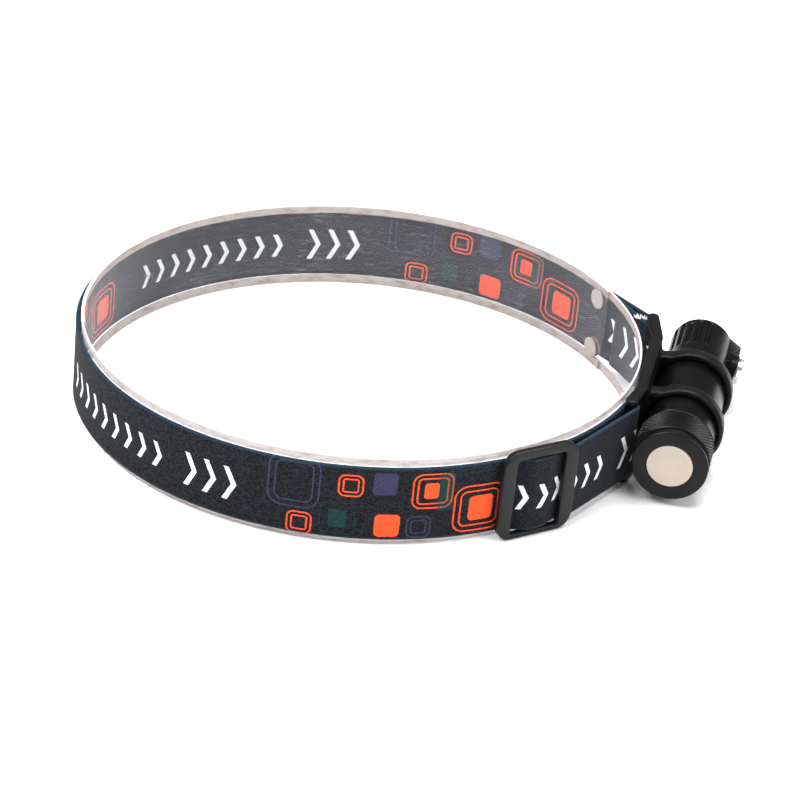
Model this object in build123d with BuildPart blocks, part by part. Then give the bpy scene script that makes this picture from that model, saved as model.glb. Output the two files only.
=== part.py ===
from build123d import *
import math
import os

# Headlamp: a small right-angle torch held by a silicone holder on an elastic head strap,
# with a clear plastic former inside the strap that keeps the loop round.
# Origin: centre of the loop on the plane that it stands on. +Z up, +X where the lamp is.
# The lamp's own axis runs along Y, tail at -Y and head at +Y. Millimetres.

# ---- loop: an oval, its long axis turned from +X ----
HOOP_A = 88.8  # half long axis of the former's outer face
HOOP_B = 81.8
LOOP_TURN = 19.0  # degrees
HOOP_T = 0.6
LAP_T = 0.5  # second layer of the former, inside the first
LAP_START = 36.5  # the inner end of the strip, degrees from +X
LAP_SWEEP = 165.0  # the two layers run on together from there, round the back

# ---- strap ----
STRAP_W = 25.0
HOOP_MARGIN = 2.3  # the former shows above and below the strap
STRAP_T = 1.0
STRAP_GAP = 0.6  # between former and strap
STRAP_LEAVES = 30.0  # where the far run leaves the oval, degrees on the oval
FAR_RUN = 37.0  # straight run from there to the far bar
FOLD_LENGTH = 17.0  # folded end behind the far bar
NEAR_TURN = -31.5  # where the strap turns back at the near bar, degrees on the oval
FRONT_RUN = 22.0  # outer layer from the near bar towards the slider
TOUCH = 0.15  # between layers that lie together

# ---- slider ----
SLIDER_AT = -60.7  # middle of the slider, degrees on the oval
SLIDER_SKEW = 5.0  # its lamp side stands further out
SLIDER_W = 26.0
SLIDER_RAIL = 2.8  # frame above and below the strap
SLIDER_RISE = 0.6  # its middle above the strap's
SLIDER_T = 2.2
SLIDER_BAR = 4.5
SLIDER_CORNER = 5.0
CENTRE_BAR_W = 3.5
CENTRE_BAR_T = 1.2
SLIDER_STANDOFF = 1.6  # back of the slider above the strap's outer face

# ---- silicone holder ----
BAR_R = 1.5
ARM_T = 2.0
ARM_R = 2.1
BASE_GAP = 0.55  # between former and holder
BASE_T = 4.2
RING_T = 2.2
RING_W = 4.8
WEB_H = 21.0
RING_IN = (10.75, 2.8)  # middles of the rings, from the two ends of the tube
BASE_PAST = (6.45, 5.6)  # back plate past the middles of the rings
SADDLE = 3.668  # between the tube and the back of the holder
CAP_CLEAR = 0.3  # between the tail cap and the strap at the near bar

# ---- lamp ----
TAIL_Y = -27.3
AIM = 12.0  # the beam points down by this many degrees
HEAD_L = 27.5
TUBE_START = 15.0
TUBE_WALL = 2.2
THREAD_STEP = 1.1  # spigot that the tail cap screws on, below the tube
THREAD_L = 8.4
HEAD_R = 10.0
SPIGOT_L = 5.5
SPIGOT_WALL = 0.95
CAP_STEP = 0.5  # the knurled cap stands above the tube
CAP_FLOOR = 4.5
CAP_GROOVE = (1.2, 3.6)
CAP_GROOVE_DEPTH = 0.7
MAGNET_R = 7.1
MAGNET_T = 2.5
CELL_R = 9.1
CELL_FIT = 0.2
CELL_L = 34.5
NUB_R = 2.8
NUB_L = 0.8
TAIL_SPRING_L = 6.3
NOSE_SPRING_L = 4.5
SPRING_WIRE = 0.35
DRIVER_T = 1.6

# ---- head ----
BEAM_BACK = 9.5  # beam centre from the far end
SNOUT_RISE = 2.4  # front of the snout above the head's barrel
SNOUT_HALF = 4.6
SNOUT_KINK = (7.7, 6.4)
SNOUT_L = 18.0
SNOUT_SLOPE = (9.6, 15.5)  # where the sloping back reaches the front and the kink, from the far end
OPTIC_R = 4.3
BOSS_WALL = 1.6
OPTIC_FLOOR = 0.6
STAR_T = 1.2
REFLECTOR_START = 3.0
REFLECTOR_BACK = 3.8  # its rim behind the snout's front
LENS_T = 1.5
SEAL_T = 0.7
BEZEL_WALL = 0.9
BEZEL_LIP = 0.7
TOOTH_H = 1.3
TEETH = 6
FLUTE_L = 16.5
FLUTE_W = 1.5
FLUTE_DEPTH = 0.7
FLUTES = 11

# ---- switch in the far end ----
SWITCH_R = 6.0
SWITCH_DEPTH = 4.0
BUTTON_R = 3.5
BUTTON_FLANGE = 0.7
BUTTON_TRAVEL = 0.5

RUN_FIT = 0.05  # radial clearance of turning and seated fits
SEAT = 0.05  # gap between stacked parts

HOOP_H = STRAP_W + 2 * HOOP_MARGIN
SLIDER_H = STRAP_W + 2 * SLIDER_RAIL
LAMP_Z = HOOP_H / 2
STRAP_Z = HOOP_MARGIN
INNER_FACE_A = HOOP_A + STRAP_GAP
INNER_FACE_B = HOOP_B + STRAP_GAP
MID_A = INNER_FACE_A + STRAP_T / 2
MID_B = INNER_FACE_B + STRAP_T / 2
WRAP_R = BAR_R + TOUCH + STRAP_T / 2

# along the lamp, from its tail
CELL_START = CAP_FLOOR + SEAT + TAIL_SPRING_L + SEAT
nose_start = CELL_START + CELL_L + NUB_L + SEAT
driver_start = nose_start + NOSE_SPRING_L + SEAT
driver_end = driver_start + DRIVER_T
TUBE_END = driver_end + 2 * SEAT
LAMP_L = TUBE_END + HEAD_L
BEAM_AT = LAMP_L - BEAM_BACK
SNOUT_START = LAMP_L - SNOUT_L
SNOUT_CHAMFER = (LAMP_L - SNOUT_SLOPE[0], LAMP_L - SNOUT_SLOPE[1])
RING_MID = (TUBE_START + RING_IN[0], TUBE_END - RING_IN[1])
BASE_Y = (TAIL_Y + RING_MID[0] - BASE_PAST[0], TAIL_Y + RING_MID[1] + BASE_PAST[1])

# across the lamp
tube_bore = CELL_R + CELL_FIT
TUBE_R = tube_bore + TUBE_WALL
THREAD_R = TUBE_R - THREAD_STEP
CAP_R = TUBE_R + CAP_STEP
SNOUT_FRONT = HEAD_R + SNOUT_RISE
REFLECTOR = (REFLECTOR_START, SNOUT_FRONT - REFLECTOR_BACK)
BOSS_R = OPTIC_R + BOSS_WALL
BEZEL_R = OPTIC_R + BEZEL_WALL
BEZEL_BORE = OPTIC_R - BEZEL_LIP


def turned(plane, start, end, outer, inner=0.0, mode=Mode.ADD):
    """A round step along a plane's normal: a disc, or a ring when inner is given."""
    with BuildSketch(plane.offset(start)) as section:
        Circle(outer)
        if inner:
            Circle(inner, mode=Mode.SUBTRACT)
    extrude(section.sketch, amount=end - start, mode=mode)


def polar(angle, length=1.0):
    return Vector(length * math.cos(math.radians(angle)), length * math.sin(math.radians(angle)))


def oval(a, b, at):
    """Point on the turned oval at a parameter angle, and the heading of its outward normal."""
    t = math.radians(at)
    point = Vector(a * math.cos(t), b * math.sin(t)).rotate(Axis.Z, LOOP_TURN)
    normal = math.degrees(math.atan2(a * math.sin(t), b * math.cos(t))) + LOOP_TURN
    return point, normal


far_start, far_normal = oval(MID_A, MID_B, STRAP_LEAVES)
FAR_BAR = far_start + polar(far_normal - 90, FAR_RUN) - polar(far_normal, WRAP_R)
near_start, near_normal = oval(MID_A, MID_B, NEAR_TURN)
NEAR_BAR = near_start + polar(near_normal, WRAP_R)
base_x = max(oval(HOOP_A, HOOP_B, at)[0].X for at in range(-30, 12)) + BASE_GAP
fold_reach = NEAR_BAR.X + WRAP_R + STRAP_T / 2
LAMP_X = max(base_x + SADDLE + TUBE_R, fold_reach + CAP_CLEAR + CAP_R)

BEAM = Vector(math.cos(math.radians(AIM)), 0, -math.sin(math.radians(AIM)))
LAMP = Plane((LAMP_X, TAIL_Y, LAMP_Z), x_dir=BEAM, z_dir=(0, 1, 0))
BEAM_LINE = Plane((LAMP_X, TAIL_Y + BEAM_AT, LAMP_Z), x_dir=(0, 1, 0), z_dir=BEAM)
RINGS = Plane((LAMP_X, TAIL_Y, LAMP_Z), x_dir=(1, 0, 0), z_dir=(0, 1, 0))


def coil(plane, start, length, radius, turns):
    """A compression spring standing on a plane."""
    wire_path = Helix(pitch=length / turns, height=length, radius=radius)
    wire_path = plane.offset(start) * wire_path
    with BuildSketch(Plane(wire_path @ 0, z_dir=wire_path % 0)) as wire:
        Circle(SPRING_WIRE)
    sweep(wire.sketch, path=wire_path)


# ---------------------------------------------------------------- former
with BuildPart() as hoop:
    with BuildSketch() as outline:
        Ellipse(HOOP_A, HOOP_B, rotation=LOOP_TURN)
        Ellipse(HOOP_A - HOOP_T, HOOP_B - HOOP_T, rotation=LOOP_TURN, mode=Mode.SUBTRACT)
    extrude(amount=HOOP_H)
    with BuildSketch() as single_layer:
        with BuildLine():
            single = 360 - LAP_SWEEP
            wedge = [polar(LAP_START - single * step / 4, 2 * HOOP_A) for step in range(5)]
            Polyline((0, 0), *wedge, close=True)
        make_face()
    with BuildSketch() as inner_layer:
        Ellipse(HOOP_A - HOOP_T / 2, HOOP_B - HOOP_T / 2, rotation=LOOP_TURN)
        Ellipse(HOOP_A - HOOP_T - LAP_T, HOOP_B - HOOP_T - LAP_T, rotation=LOOP_TURN, mode=Mode.SUBTRACT)
        add(single_layer.sketch, mode=Mode.SUBTRACT)
    extrude(inner_layer.sketch, amount=HOOP_H)

RIVET_AT = 40.5  # degrees from +X
RIVET_SPACING = 18.3
RIVET_R = 1.4
RIVET_HEAD_R = 3.4
RIVET_HEAD_T = 0.6
RIVET_BACK_T = 0.25
rivet_point, rivet_normal = oval(HOOP_A, HOOP_B, RIVET_AT - LOOP_TURN)
rivet_planes = [
    Plane(
        (rivet_point.X, rivet_point.Y, HOOP_H / 2 + side * RIVET_SPACING / 2),
        x_dir=(0, 0, 1),
        z_dir=polar(rivet_normal),
    )
    for side in (-1, 1)
]
RIVET_SAG = 0.12  # a flat head clears the curved strip at its rim
strip_back = -HOOP_T - LAP_T - RIVET_SAG
with hoop:
    for plane in rivet_planes:
        turned(plane, strip_back - RIVET_HEAD_T, RIVET_HEAD_T, RIVET_R + RUN_FIT, mode=Mode.SUBTRACT)
hoop.part.label = "clear_hoop"

with BuildPart() as rivets:
    for plane in rivet_planes:
        turned(plane, strip_back - RIVET_HEAD_T, strip_back, RIVET_HEAD_R)
        turned(plane, strip_back, SEAT, RIVET_R)
        turned(plane, SEAT, SEAT + RIVET_BACK_T, RIVET_HEAD_R)
rivets.part.label = "hoop_rivets"

# ---------------------------------------------------------------- strap
fold_turn = math.degrees(math.asin((2 * WRAP_R - STRAP_T - TOUCH) / FOLD_LENGTH))
slider_point, slider_normal = oval(INNER_FACE_A + STRAP_T, INNER_FACE_B + STRAP_T, SLIDER_AT)
SLIDER_OUT = slider_normal - SLIDER_SKEW
slider_back = slider_point + polar(slider_normal, SLIDER_STANDOFF)
slider_edge = slider_back + polar(SLIDER_OUT + 90, SLIDER_W / 2)
front_aim = slider_edge - NEAR_BAR - polar(slider_normal, STRAP_T / 2 + TOUCH)
front_heading = math.degrees(math.atan2(front_aim.Y, front_aim.X))
front_heading += math.degrees(math.asin(WRAP_R / front_aim.length))


def around(bar, start, sweep_angle):
    """Middle line of the strap round a bar, from one heading by a signed sweep."""
    return CenterArc((bar.X, bar.Y), WRAP_R, start, sweep_angle)


with BuildPart() as strap:
    with BuildSketch(Plane.XY.offset(STRAP_Z)):
        with BuildLine():
            far_wrap = around(FAR_BAR, far_normal - 180 - fold_turn, 180 + fold_turn)
            fold_end = far_wrap @ 0
            Line(fold_end, fold_end + polar(far_normal + 90 - fold_turn, FOLD_LENGTH - TOUCH))
            Line(far_wrap @ 1, far_start)
            loop_sweep = 360 + NEAR_TURN - STRAP_LEAVES
            EllipticalCenterArc((0, 0), MID_A, MID_B, STRAP_LEAVES, arc_size=loop_sweep, rotation=LOOP_TURN)
            near_sweep = (front_heading + 90) - (near_normal + 180)
            near_sweep = near_sweep % 360 - 360
            near_wrap = around(NEAR_BAR, near_normal + 180, near_sweep)
            front_end = near_wrap @ 1
            Line(front_end, front_end + polar(front_heading, FRONT_RUN))
        trace(line_width=STRAP_T)
    extrude(amount=STRAP_W)
strap.part.label = "strap_band"

STITCH_T = 0.25
STITCH_W = 1.6
TACKS = (7.0, 11.0)  # back from the far bar
TACK_MARGIN = 1.5  # from the edges of the strap
with BuildPart() as stitching:
    # two bar tacks across the strap, through the far fold
    for back in TACKS:
        spot = far_start + polar(far_normal - 90, FAR_RUN - back) + polar(far_normal, STRAP_T / 2)
        tack_plane = Plane((spot.X, spot.Y, LAMP_Z), x_dir=(0, 0, 1), z_dir=polar(far_normal))
        with BuildSketch(tack_plane) as tack:
            SlotOverall(STRAP_W - 2 * TACK_MARGIN, STITCH_W)
        extrude(tack.sketch, amount=STITCH_T)
stitching.part.label = "strap_stitching"

# ---------------------------------------------------------------- slider
# seen from above: X away from the lamp along the strap, Y outwards
SLIDER_PLAN = Plane((slider_back.X, slider_back.Y, 0), x_dir=polar(SLIDER_OUT - 90), z_dir=(0, 0, 1))
slider_middle = (slider_back.X, slider_back.Y, LAMP_Z)
slider_face = Plane(slider_middle, x_dir=polar(SLIDER_OUT + 90), z_dir=polar(SLIDER_OUT))
SLIDER_EDGE = 0.6
WINDOW_PLAY = 0.4
WINDOW_CORNER = 1.2
window_h = STRAP_W + 2 * WINDOW_PLAY
with BuildPart() as slider:
    with BuildSketch(slider_face) as frame_outline:
        with Locations((0, SLIDER_RISE)):
            RectangleRounded(SLIDER_W, SLIDER_H, SLIDER_CORNER)
    extrude(frame_outline.sketch, amount=SLIDER_T)
    fillet(slider.faces().sort_by(Axis(slider_face.origin, slider_face.z_dir))[-1].edges(), SLIDER_EDGE)
    with BuildSketch(slider_face) as window:
        RectangleRounded(SLIDER_W - 2 * SLIDER_BAR, window_h, WINDOW_CORNER)
    extrude(window.sketch, amount=SLIDER_T, mode=Mode.SUBTRACT)
    with BuildSketch(slider_face) as centre_bar:
        Rectangle(CENTRE_BAR_W, window_h + 2 * WINDOW_PLAY)
    extrude(centre_bar.sketch, amount=CENTRE_BAR_T)
slider.part.label = "slider_buckle"

HUMP_PAST = 0.6  # the strap stays level this far past the centre bar
HUMP_DROP = 0.15
WINDOW_END = (0.9, 0.2)  # its end short of the far bar, and above the slider's back
with BuildPart() as slider_strap:
    with BuildSketch(SLIDER_PLAN.offset(STRAP_Z)):
        with BuildLine():
            rise = CENTRE_BAR_T + TOUCH + STRAP_T / 2
            under = -STRAP_T / 2 - TOUCH
            crown = CENTRE_BAR_W / 2 + HUMP_PAST
            hump = ThreePointArc((-crown, rise - HUMP_DROP), (0, rise), (crown, rise - HUMP_DROP))
            lamp_side = (-SLIDER_W / 2 + SLIDER_BAR + HUMP_PAST, under)
            far_side = (SLIDER_W / 2 - SLIDER_BAR - WINDOW_END[0], WINDOW_END[1])
            Line((-SLIDER_W / 2, under), lamp_side)
            Spline(lamp_side, hump @ 0, tangents=[(1, 0), hump % 0])
            Spline(hump @ 1, far_side, tangents=[hump % 1, (1, 0)])
        trace(line_width=STRAP_T)
    extrude(amount=STRAP_W)
slider_strap.part.label = "strap_in_slider"

# ---------------------------------------------------------------- holder
PLATE_CORNER = 1.4
WEB_ROOT = 1.0  # the webs start this far inside the back plate
with BuildPart() as holder:
    with BuildSketch():
        with Locations((base_x + BASE_T / 2, sum(BASE_Y) / 2)):
            RectangleRounded(BASE_T, BASE_Y[1] - BASE_Y[0], PLATE_CORNER)
    extrude(amount=HOOP_H)
    # arms over and under the strap, out to each bar
    for level in (0.0, HOOP_H - ARM_T):
        for bar, edge in ((FAR_BAR, BASE_Y[1] - ARM_R), (NEAR_BAR, BASE_Y[0] + ARM_R)):
            with BuildSketch(Plane.XY.offset(level)) as arm:
                with Locations((bar.X, bar.Y), (base_x + BASE_T / 2, edge)):
                    Circle(ARM_R)
                make_hull()
            extrude(arm.sketch, amount=ARM_T)
    for bar in (FAR_BAR, NEAR_BAR):
        with BuildSketch() as bar_section:
            with Locations((bar.X, bar.Y)):
                Circle(BAR_R)
        extrude(bar_section.sketch, amount=HOOP_H)
    # rings, with webs that carry them from the back plate
    ring_r = TUBE_R + RING_T
    for middle in RING_MID:
        with BuildSketch(RINGS.offset(middle - RING_W / 2)) as ring:
            Circle(ring_r)
            with BuildLine():
                root_x = base_x + WEB_ROOT - LAMP_X
                Polyline((root_x, -WEB_H / 2), (0, -ring_r), (0, ring_r), (root_x, WEB_H / 2), close=True)
            make_face()
        extrude(ring.sketch, amount=RING_W)
    turned(RINGS, 0, LAMP_L, TUBE_R + RUN_FIT, mode=Mode.SUBTRACT)
holder.part.label = "silicone_holder"

# ---------------------------------------------------------------- tail of the lamp
CAP_GAP = 0.2  # between the closed cap and the tube's shoulder
RIM_STEP = 0.2
CAP_EDGE = (0.5, 0.4)
skirt_end = TUBE_START - CAP_GAP
with BuildPart() as tail_cap:
    turned(LAMP, 0, CAP_GROOVE[0], CAP_R - RIM_STEP)
    turned(LAMP, CAP_GROOVE[0], CAP_GROOVE[1], CAP_R - CAP_GROOVE_DEPTH)
    turned(LAMP, CAP_GROOVE[1], skirt_end, CAP_R)
    turned(LAMP, 0, MAGNET_T + SEAT, MAGNET_R + RUN_FIT, mode=Mode.SUBTRACT)
    turned(LAMP, CAP_FLOOR, skirt_end, THREAD_R + RUN_FIT, mode=Mode.SUBTRACT)
    axis = Axis(LAMP.origin, LAMP.z_dir)
    chamfer(tail_cap.faces().sort_by(axis)[0].outer_wire().edges(), CAP_EDGE[0])
    chamfer(tail_cap.faces().sort_by(axis)[-1].outer_wire().edges(), CAP_EDGE[1])
tail_cap.part.label = "tail_cap"

with BuildPart() as magnet:
    turned(LAMP, 0, MAGNET_T, MAGNET_R)
magnet.part.label = "tail_magnet"

TAIL_COIL = (4.0, 4)  # radius, turns
with BuildPart() as tail_spring:
    coil(LAMP, CAP_FLOOR + SEAT + SPRING_WIRE, TAIL_SPRING_L - 2 * SPRING_WIRE, *TAIL_COIL)
tail_spring.part.label = "tail_spring"

thread_start = TUBE_START - THREAD_L
SEAL_AT = TUBE_START - 2.6
SEAL_W = 1.3
TUBE_EDGE = 0.3
CELL_EDGE = 0.6
SEAL_DEPTH = 0.5
with BuildPart() as tube:
    turned(LAMP, TUBE_START, TUBE_END, TUBE_R)
    turned(LAMP, thread_start, TUBE_START, THREAD_R)
    chamfer(tube.edges().filter_by(GeomType.CIRCLE).group_by(SortBy.RADIUS)[-1], TUBE_EDGE)
    turned(LAMP, thread_start, TUBE_END, tube_bore, mode=Mode.SUBTRACT)
    turned(LAMP, SEAL_AT, SEAL_AT + SEAL_W, THREAD_R + 1, THREAD_R - SEAL_DEPTH, mode=Mode.SUBTRACT)
tube.part.label = "battery_tube"

with BuildPart() as tail_seal:
    turned(LAMP, SEAL_AT + SEAT, SEAL_AT + SEAL_W - SEAT, THREAD_R + 0.01, THREAD_R - SEAL_DEPTH + 0.02)
tail_seal.part.label = "tail_seal"

with BuildPart() as cell:
    turned(LAMP, CELL_START, CELL_START + CELL_L, CELL_R)
    fillet(cell.edges(), CELL_EDGE)
    turned(LAMP, CELL_START + CELL_L, CELL_START + CELL_L + NUB_L, NUB_R)
cell.part.label = "battery_cell"

NOSE_COIL = (2.6, 3)  # radius, turns
with BuildPart() as nose_spring:
    coil(LAMP, nose_start + SPRING_WIRE, NOSE_SPRING_L - 2 * SPRING_WIRE, *NOSE_COIL)
nose_spring.part.label = "positive_spring"

# ---------------------------------------------------------------- head of the lamp
spigot_r = tube_bore - RUN_FIT
spigot_bore = spigot_r - SPIGOT_WALL
spigot_start = TUBE_END - SPIGOT_L
WIRE_HOLE = (2.4, 0.9, 0.5)  # off the axis, half spacing, radius
wire_end = BEAM_AT - OPTIC_R + 1.2
HEAD_SEAL_AT = TUBE_END - 3.0
HEAD_SEAL_W = 1.2
HEAD_SEAL_DEPTH = 0.4
HEAD_EDGE = 0.6

with BuildPart() as snout:
    with BuildSketch(LAMP.offset(SNOUT_START)):
        with BuildLine():
            kink_x, kink_y = SNOUT_KINK
            Polyline(
                (0, -kink_y), (kink_x, -kink_y), (SNOUT_FRONT, -SNOUT_HALF),
                (SNOUT_FRONT, SNOUT_HALF), (kink_x, kink_y), (0, kink_y), close=True,
            )
        make_face()
    extrude(amount=LAMP_L - SNOUT_START)
    # the back of the snout slopes down to the barrel
    side = Plane(LAMP.origin, x_dir=BEAM, z_dir=BEAM.cross(Vector(0, 1, 0)))
    with BuildSketch(side) as slope:
        with BuildLine():
            lean = (SNOUT_FRONT - kink_x) / (SNOUT_CHAMFER[0] - SNOUT_CHAMFER[1])
            low = SNOUT_CHAMFER[0] - SNOUT_START + 4
            foot = (SNOUT_FRONT - lean * low, SNOUT_CHAMFER[0] - low)
            top = (SNOUT_FRONT + lean, SNOUT_CHAMFER[0] + 1)
            Polyline(foot, top, (top[0], foot[1]), close=True)
        make_face()
    extrude(slope.sketch, amount=2 * kink_y, both=True, mode=Mode.SUBTRACT)

with BuildPart() as head:
    turned(LAMP, TUBE_END, LAMP_L, HEAD_R)
    chamfer(head.faces().sort_by(axis)[-1].edges(), HEAD_EDGE)
    flute_step = 180 / (FLUTES - 1)
    for index in range(FLUTES):
        angle = math.radians(90 + index * flute_step)
        with BuildSketch(LAMP.offset(LAMP_L - FLUTE_L)) as flute:
            with Locations((HEAD_R * math.cos(angle), HEAD_R * math.sin(angle))):
                Rectangle(2 * FLUTE_DEPTH, FLUTE_W, rotation=math.degrees(angle))
        extrude(flute.sketch, amount=FLUTE_L, mode=Mode.SUBTRACT)
    add(snout.part)
    turned(BEAM_LINE, HEAD_R - 3, SNOUT_FRONT, BOSS_R)
    turned(LAMP, spigot_start, TUBE_END, spigot_r)
    turned(LAMP, spigot_start, driver_end + SEAT, spigot_bore, mode=Mode.SUBTRACT)
    seal_floor = spigot_r - HEAD_SEAL_DEPTH
    turned(LAMP, HEAD_SEAL_AT, HEAD_SEAL_AT + HEAD_SEAL_W, spigot_r + 1, seal_floor, mode=Mode.SUBTRACT)
    turned(BEAM_LINE, OPTIC_FLOOR, SNOUT_FRONT + 1, OPTIC_R + RUN_FIT, mode=Mode.SUBTRACT)
    turned(LAMP, LAMP_L - SWITCH_DEPTH, LAMP_L, SWITCH_R, mode=Mode.SUBTRACT)
    with BuildSketch(LAMP.offset(driver_end)) as wire_way:
        with Locations((WIRE_HOLE[0], WIRE_HOLE[1]), (WIRE_HOLE[0], -WIRE_HOLE[1])):
            Circle(WIRE_HOLE[2])
    extrude(wire_way.sketch, amount=wire_end - driver_end, mode=Mode.SUBTRACT)
head.part.label = "head_housing"

with BuildPart() as head_seal:
    turned(LAMP, HEAD_SEAL_AT + SEAT, HEAD_SEAL_AT + HEAD_SEAL_W - SEAT, spigot_r + 0.02, seal_floor + 0.02)
head_seal.part.label = "head_seal"

with BuildPart() as driver:
    turned(LAMP, driver_start, driver_end, spigot_bore - RUN_FIT)
driver.part.label = "driver_board"

with BuildPart() as wires:
    with BuildSketch(LAMP.offset(driver_end + SEAT)) as wire_pair:
        with Locations((WIRE_HOLE[0], WIRE_HOLE[1]), (WIRE_HOLE[0], -WIRE_HOLE[1])):
            Circle(WIRE_HOLE[2] - 0.1)
    extrude(wire_pair.sketch, amount=wire_end - driver_end - 2 * SEAT)
wires.part.label = "led_wires"

star_top = OPTIC_FLOOR + SEAT + STAR_T
with BuildPart() as star:
    turned(BEAM_LINE, OPTIC_FLOOR + SEAT, star_top, OPTIC_R)
    with BuildSketch(BEAM_LINE.offset(OPTIC_FLOOR)) as notch:
        with Locations((-OPTIC_R, 0)):
            Rectangle(3.2, 4)
    extrude(notch.sketch, amount=STAR_T + 1, mode=Mode.SUBTRACT)
star.part.label = "led_board"

EMITTER_W = 2.4
EMITTER_T = 0.6
DOME_R = 1.0
with BuildPart() as emitter:
    with BuildSketch(BEAM_LINE.offset(star_top + SEAT)):
        RectangleRounded(EMITTER_W, EMITTER_W, 0.3)
    extrude(amount=EMITTER_T)
    turned(BEAM_LINE, star_top + SEAT + EMITTER_T, star_top + SEAT + EMITTER_T + 0.5, DOME_R)
    fillet(emitter.faces().sort_by(Axis(BEAM_LINE.origin, BEAM_LINE.z_dir))[-1].edges(), 0.45)
emitter.part.label = "led_emitter"

REFLECTOR_FOOT = 1.7
REFLECTOR_LIP = 0.25
with BuildPart() as reflector:
    turned(BEAM_LINE, *REFLECTOR, OPTIC_R)
    with BuildSketch(BEAM_LINE.offset(REFLECTOR[0])) as small_end:
        Circle(REFLECTOR_FOOT)
    with BuildSketch(BEAM_LINE.offset(REFLECTOR[1])) as large_end:
        Circle(OPTIC_R - REFLECTOR_LIP)
    loft([small_end.sketch.face(), large_end.sketch.face()], mode=Mode.SUBTRACT)
reflector.part.label = "reflector"

seal_start = REFLECTOR[1] + SEAT
lens_start = seal_start + SEAL_T + SEAT
bezel_start = lens_start + LENS_T + SEAT
with BuildPart() as lens_seal:
    turned(BEAM_LINE, seal_start, seal_start + SEAL_T, OPTIC_R, OPTIC_R - 0.8)
lens_seal.part.label = "lens_seal"

with BuildPart() as lens:
    turned(BEAM_LINE, lens_start, lens_start + LENS_T, OPTIC_R)
    chamfer(lens.faces().sort_by(Axis(BEAM_LINE.origin, BEAM_LINE.z_dir))[-1].edges(), 0.2)
lens.part.label = "lens"

BEZEL_FLANGE = 0.6
teeth_base = SNOUT_FRONT + SEAT + BEZEL_FLANGE
with BuildPart() as bezel:
    turned(BEAM_LINE, bezel_start, SNOUT_FRONT + SEAT, OPTIC_R, BEZEL_BORE)
    turned(BEAM_LINE, SNOUT_FRONT + SEAT, teeth_base + TOOTH_H, BEZEL_R, BEZEL_BORE)
    with BuildSketch(BEAM_LINE.offset(teeth_base)) as gaps:
        with PolarLocations(BEZEL_R, TEETH):
            Rectangle(BEZEL_R, 2.6)
    extrude(gaps.sketch, amount=TOOTH_H, mode=Mode.SUBTRACT)
bezel.part.label = "bezel_ring"

# ---------------------------------------------------------------- switch
switch_floor = LAMP_L - SWITCH_DEPTH
with BuildPart() as switch_board:
    turned(LAMP, switch_floor + SEAT, switch_floor + SEAT + 0.8, SWITCH_R - RUN_FIT)
switch_board.part.label = "switch_board"

board_top = switch_floor + 2 * SEAT + 0.8
with BuildPart() as tact:
    with BuildSketch(LAMP.offset(board_top)):
        RectangleRounded(3.4, 3.4, 0.3)
    extrude(amount=0.6)
    turned(LAMP, board_top + 0.6, board_top + 0.85, 0.8)
tact.part.label = "tact_switch"

LIP_T = 0.7
lip_start = LAMP_L - 0.1 - LIP_T
with BuildPart() as retainer:
    turned(LAMP, board_top, LAMP_L - 0.1, SWITCH_R - RUN_FIT, BUTTON_R + BUTTON_FLANGE + 0.1)
    turned(LAMP, lip_start, LAMP_L - 0.1, SWITCH_R - RUN_FIT, BUTTON_R + 0.1)
retainer.part.label = "switch_retainer"

with BuildPart() as button:
    turned(LAMP, lip_start - 0.8, lip_start - SEAT, BUTTON_R + BUTTON_FLANGE)
    turned(LAMP, lip_start - SEAT, LAMP_L, BUTTON_R)
    fillet(button.faces().sort_by(axis)[-1].edges(), 0.4)
button.part.label = "switch_button"

pieces = [
    hoop, rivets, strap, stitching, slider, slider_strap, holder,
    tail_cap, magnet, tail_spring, tube, tail_seal, cell, nose_spring,
    head, head_seal, driver, wires, star, emitter, reflector, lens_seal, lens, bezel,
    switch_board, tact, retainer, button,
]
os.makedirs("parts", exist_ok=True)
for piece in pieces:
    export_step(piece.part, f"parts/{piece.part.label}.step")
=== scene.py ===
import math
import random

import bmesh
import bpy
import numpy as np
from mathutils import Matrix, Vector


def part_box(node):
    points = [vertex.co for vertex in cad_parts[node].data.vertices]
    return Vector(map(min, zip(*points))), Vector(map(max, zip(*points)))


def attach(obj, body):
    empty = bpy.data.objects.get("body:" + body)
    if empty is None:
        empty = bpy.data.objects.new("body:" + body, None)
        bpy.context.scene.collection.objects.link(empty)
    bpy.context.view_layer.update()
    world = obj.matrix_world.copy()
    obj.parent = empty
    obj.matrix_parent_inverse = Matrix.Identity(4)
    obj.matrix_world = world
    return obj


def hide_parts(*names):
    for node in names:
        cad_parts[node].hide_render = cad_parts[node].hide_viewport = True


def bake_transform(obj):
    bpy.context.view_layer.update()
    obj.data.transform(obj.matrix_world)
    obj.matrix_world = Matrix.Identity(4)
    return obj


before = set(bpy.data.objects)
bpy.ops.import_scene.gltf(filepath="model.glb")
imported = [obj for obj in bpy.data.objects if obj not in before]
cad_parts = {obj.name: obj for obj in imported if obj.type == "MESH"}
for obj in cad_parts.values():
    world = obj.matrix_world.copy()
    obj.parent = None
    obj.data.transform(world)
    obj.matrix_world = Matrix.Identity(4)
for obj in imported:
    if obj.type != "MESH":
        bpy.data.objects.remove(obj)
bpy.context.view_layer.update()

MM = 0.001
scene = bpy.context.scene

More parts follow.
